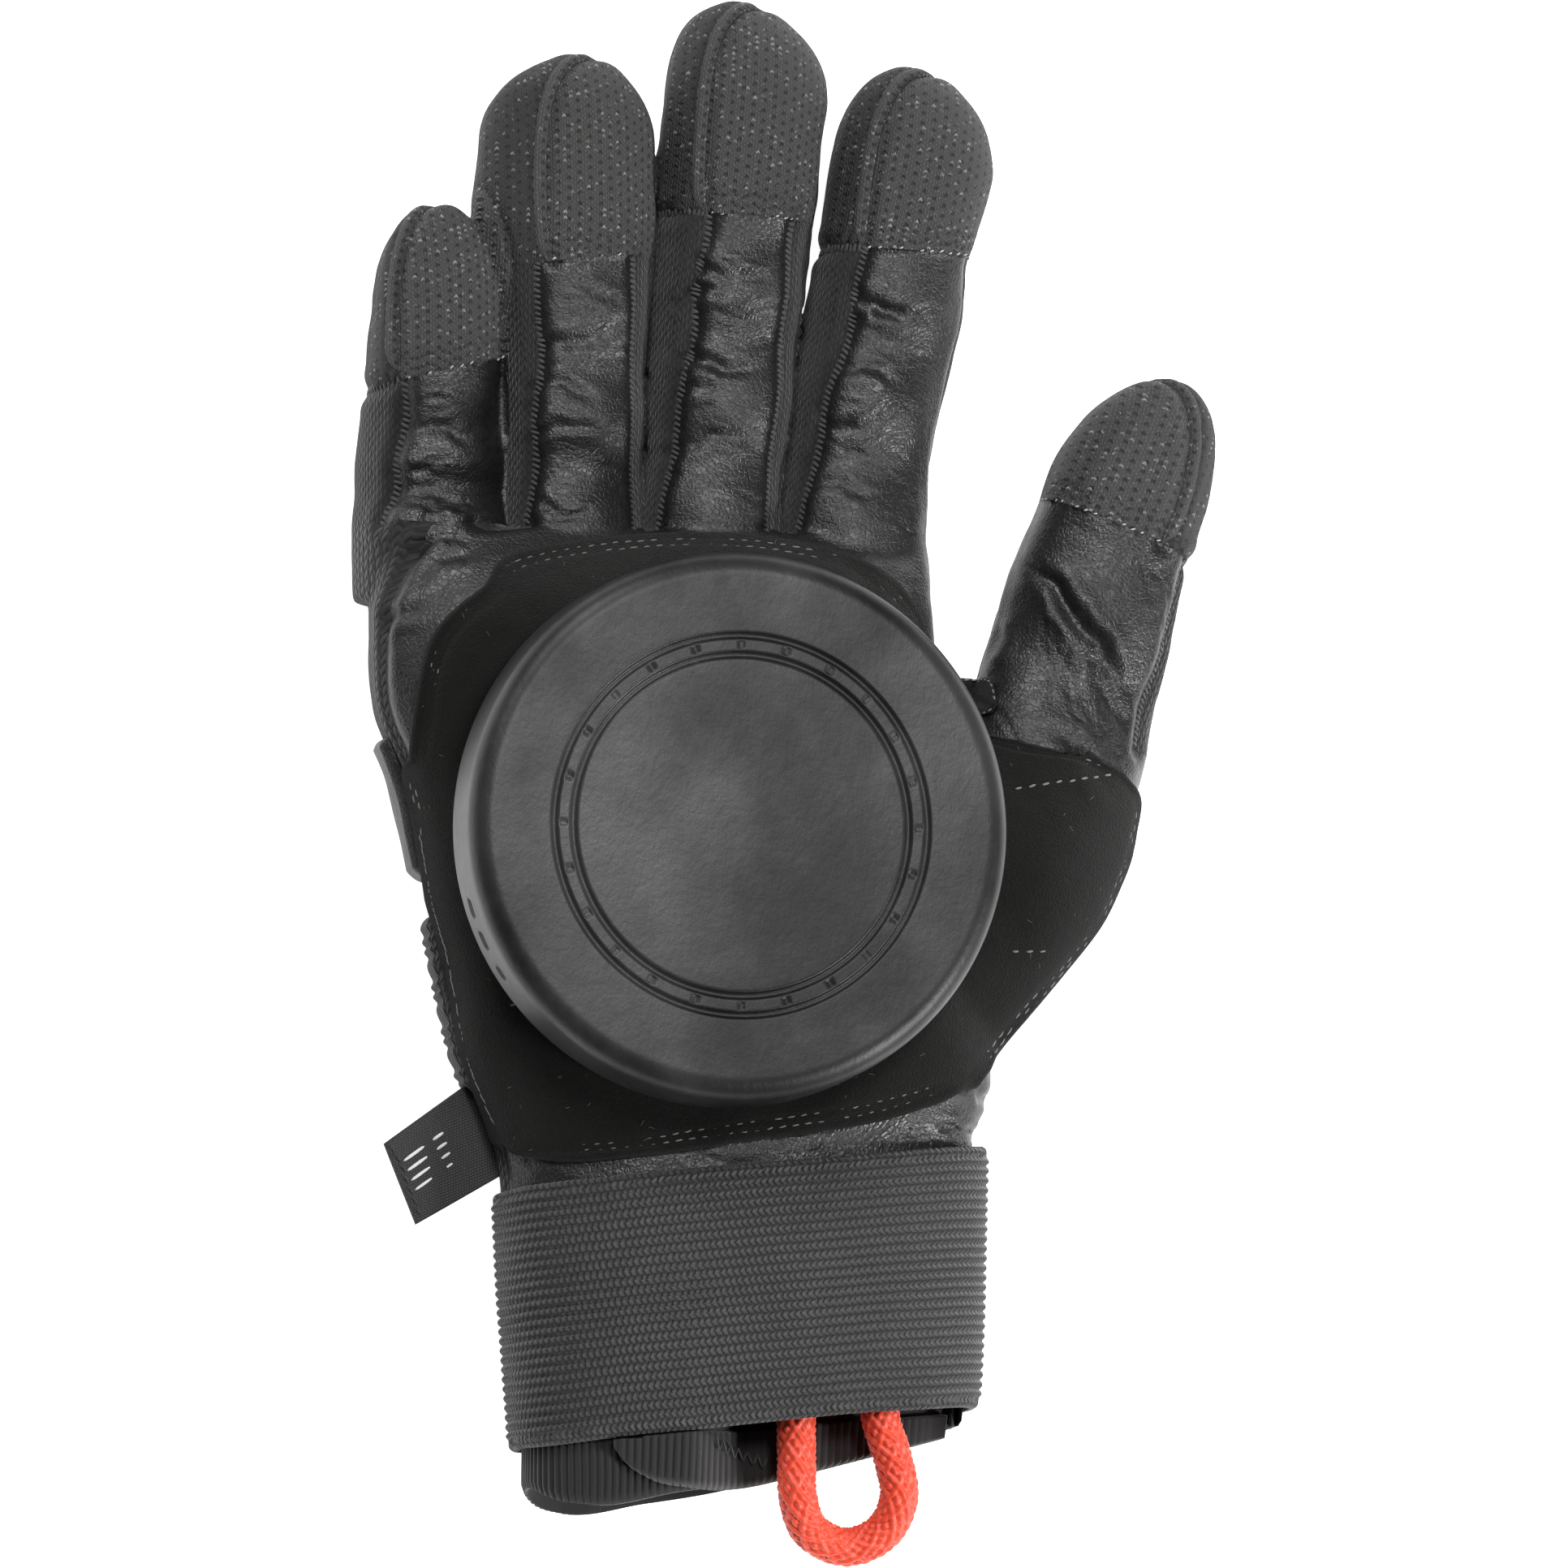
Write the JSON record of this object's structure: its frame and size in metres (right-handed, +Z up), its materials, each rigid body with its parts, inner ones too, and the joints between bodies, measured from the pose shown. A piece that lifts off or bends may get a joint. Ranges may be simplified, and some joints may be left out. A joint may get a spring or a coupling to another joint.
{
  "type": "longboard slide glove",
  "caption": "Right-hand slide glove with leather palm, knit back, suede palm patch, round slide puck, elastic wrist strap and cord pull loop",
  "frame": {"origin": "under the middle of the glove without its cord loop, on the surface that it rests on", "axes": "+Z up out of the palm side through the puck, +Y toward the fingertips, +X toward the thumb"},
  "size_m": [0.1522, 0.276, 0.0584],
  "materials": {
    "leather": "satin grained leather",
    "smooth_leather": "smooth soft leather",
    "cap_fabric": "textured woven fabric with pale flecks",
    "knit": "ribbed stretch knit",
    "suede": "fuzzy suede",
    "puck_plastic": "slightly marbled satin plastic",
    "hook_fabric": "hook-and-loop fabric",
    "elastic": "ribbed elastic webbing",
    "rib_knit": "ribbed knit",
    "cord": "braided cord",
    "woven": "folded woven tape"
  },
  "bodies": {
    "root": {"little_front": "leather", "little_cap": "cap_fabric", "little_tip": "cap_fabric", "little_sleeve": "knit", "ring_front": "leather", "ring_cap": "cap_fabric", "ring_tip": "cap_fabric", "ring_sleeve": "knit", "middle_front": "leather", "middle_cap": "cap_fabric", "middle_tip": "cap_fabric", "middle_sleeve": "knit", "index_front": "leather", "index_cap": "cap_fabric", "index_tip": "cap_fabric", "index_sleeve": "knit", "thumb_front": "leather", "thumb_cap": "cap_fabric", "thumb_tip": "cap_fabric", "thumb_sleeve": "knit", "palm_leather": "leather", "hand_back": "knit", "suede_patch": "suede", "puck": "puck_plastic", "puck_hook_disc": "hook_fabric", "strap": "elastic", "cuff": "rib_knit", "cuff_flap": "rib_knit", "pull_loop": "cord", "side_tab": "woven", "knuckle_pad": "smooth_leather", "wrist_gather": "knit", "thumb_tab": "suede"}
  },
  "joints": []
}
